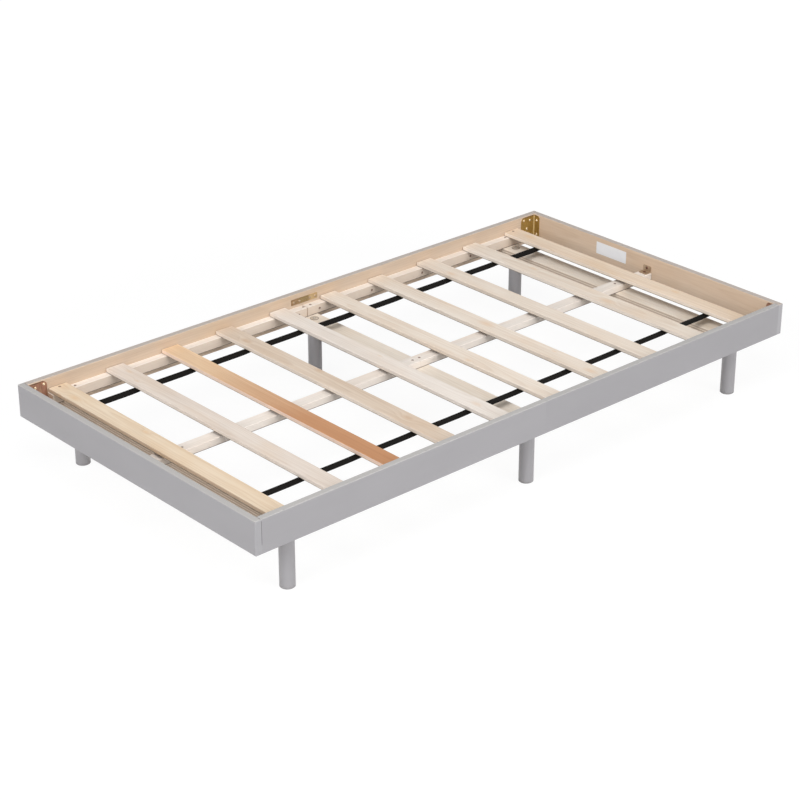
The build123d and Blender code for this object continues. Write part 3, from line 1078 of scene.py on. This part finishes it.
# Points along the middle of the tape, as (x, z): flat at the staples, sagging between them.
tape_low, tape_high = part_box("strap_left")
path = [(tape_low.x, strap_level)]
for here, after in zip(SLATS, SLATS[1:]):
    start, end = middle_x(here) + STAPLE_OFFSET, middle_x(after) - STAPLE_OFFSET
    for step in range(STEPS_A_GAP + 1):
        share = step / STEPS_A_GAP
        sag = STRAP_SAG * (1 - (2 * share - 1) ** 4)
        path.append((start + (end - start) * share, strap_level - sag))
path.append((tape_high.x, strap_level))

# %% [markdown]
# Black tape shows its weave only as fine ribs, because every thread is the same black. The ribs and
# the threads are relief first and colour second.

# %% Webbing: its finish, and the two straps
WEAVE_RIB = 1.6 * MM
WEAVE_THREAD = 0.9 * MM


def webbing_finish():
    """Black woven tape: ribs across it and a fine weave between them."""
    finish = Finish("black_webbing")
    along, across, up = finish.place()
    off_rib = ((along / WEAVE_RIB).fraction() - 0.5) * 2
    rib = 1 - off_rib * off_rib
    off_thread = ((across / WEAVE_THREAD).fraction() - 0.5) * 2
    thread = 1 - off_thread * off_thread
    dust = finish.noise(along * 60, across * 60, up * 60, detail=3.0)
    colour = finish.mix((rib * 0.4 + dust * 0.4).clamped(), shade(6, 5, 4), shade(20, 17, 14))
    rough = 0.8 + (dust - 0.5) * 0.1
    return finish.dress(colour, rough, rib * 0.7 + thread * 0.3, 0.2 * MM, Specular_IOR_Level=0.1)


webbing = webbing_finish()
for side_name in SIDES:
    low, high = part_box(f"strap_{side_name}")
    tape_shape = tape(path, (low.y + high.y) / 2, high.y - low.y, STRAP_TILT[side_name])
    strap = new_piece(f"webbing_{side_name}", *tape_shape, webbing, "webbing")
    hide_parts(f"strap_{side_name}")
print("two straps, each under", len(SLATS), "slats")

# %% [markdown]
# A staple is one bent wire, so only its crown shows: a short bar with blunt ends, pressed into the
# tape. Two staples hold the tape to each slat.

# %% Staples
STAPLE_CROWN = 10.0 * MM
STAPLE_WIRE = 0.6 * MM
BAR_SIDES = 8


def bar(start, end, radius):
    """A round bar with blunt ends between two points, as (corners, faces)."""
    start, end = Vector(start), Vector(end)
    axis = (end - start).normalized()
    across = axis.orthogonal().normalized()
    blunt = axis * radius * 0.6
    rings = ((start - blunt, 0.5), (start, 1.0), (end, 1.0), (end + blunt, 0.5))
    corners = []
    for centre, share in rings:
        for point in range(BAR_SIDES):
            turn = Matrix.Rotation(2 * math.pi * point / BAR_SIDES, 3, axis)
            corners.append(centre + turn @ across * radius * share)
    return corners, tube(len(rings), BAR_SIDES)


staples = []
crown_level = slat_bottom - STRAP_CLEAR - STRAP_THICK - STAPLE_WIRE * 0.4
for side_name in SIDES:
    low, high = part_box(f"strap_{side_name}")
    for node in SLATS:
        for offset in (-STAPLE_OFFSET, STAPLE_OFFSET):
            ends = [
                (middle_x(node) + offset, (low.y + high.y) / 2 + reach, crown_level)
                for reach in (-STAPLE_CROWN / 2, STAPLE_CROWN / 2)
            ]
            staples.append(bar(*ends, STAPLE_WIRE))
new_piece("strap_staples", *joined(staples), zinc, "zinc_steel")
print(len(staples), "staples")

# %% [markdown]
# A plain white paper sticker, left blank, sits on the bare inner face of the head rail. Its edge
# catches the light, so it is a real sheet with small round corners.

# %% Sticker
STICKER_WIDTH = 128.0 * MM
STICKER_HEIGHT = 40.0 * MM
STICKER_MIDDLE = Vector((inner_x, 155.0 * MM, rail_top - 34.5 * MM))
STICKER_LIFT = (0.02 * MM, 0.15 * MM)
STICKER_CORNER = 2.0 * MM
CORNER_STEPS = 4


def rounded_outline(width, height, corner):
    """Points round a rectangle with round corners, as (across, up)."""
    outline = []
    for quarter, (right, up) in enumerate(((1, 1), (-1, 1), (-1, -1), (1, -1))):
        for step in range(CORNER_STEPS + 1):
            angle = (quarter + step / CORNER_STEPS) * math.pi / 2
            outline.append((
                right * (width / 2 - corner) + corner * math.cos(angle),
                up * (height / 2 - corner) + corner * math.sin(angle),
            ))
    return outline


def paper_finish():
    """White paper with a faint tooth."""
    finish = Finish("white_paper")
    wires = finish.place()
    tooth = finish.noise(*(w * 1200 for w in wires))
    cloud = finish.noise(*(w * 40 for w in wires))
    colour = finish.mix(cloud, shade(246, 246, 248), shade(236, 238, 242))
    return finish.dress(colour, 0.5 + (tooth - 0.5) * 0.1, tooth, 0.03 * MM)


outline = rounded_outline(STICKER_WIDTH, STICKER_HEIGHT, STICKER_CORNER)
sticker_corners = [
    (STICKER_MIDDLE.x - lift, STICKER_MIDDLE.y + across, STICKER_MIDDLE.z + up)
    for lift in STICKER_LIFT
    for across, up in outline
]
sticker_faces = tube(len(STICKER_LIFT), len(outline))
new_piece("blank_sticker", sticker_corners, sticker_faces, paper_finish(), "paper")
print("sticker", STICKER_WIDTH / MM, "by", STICKER_HEIGHT / MM, "mm")
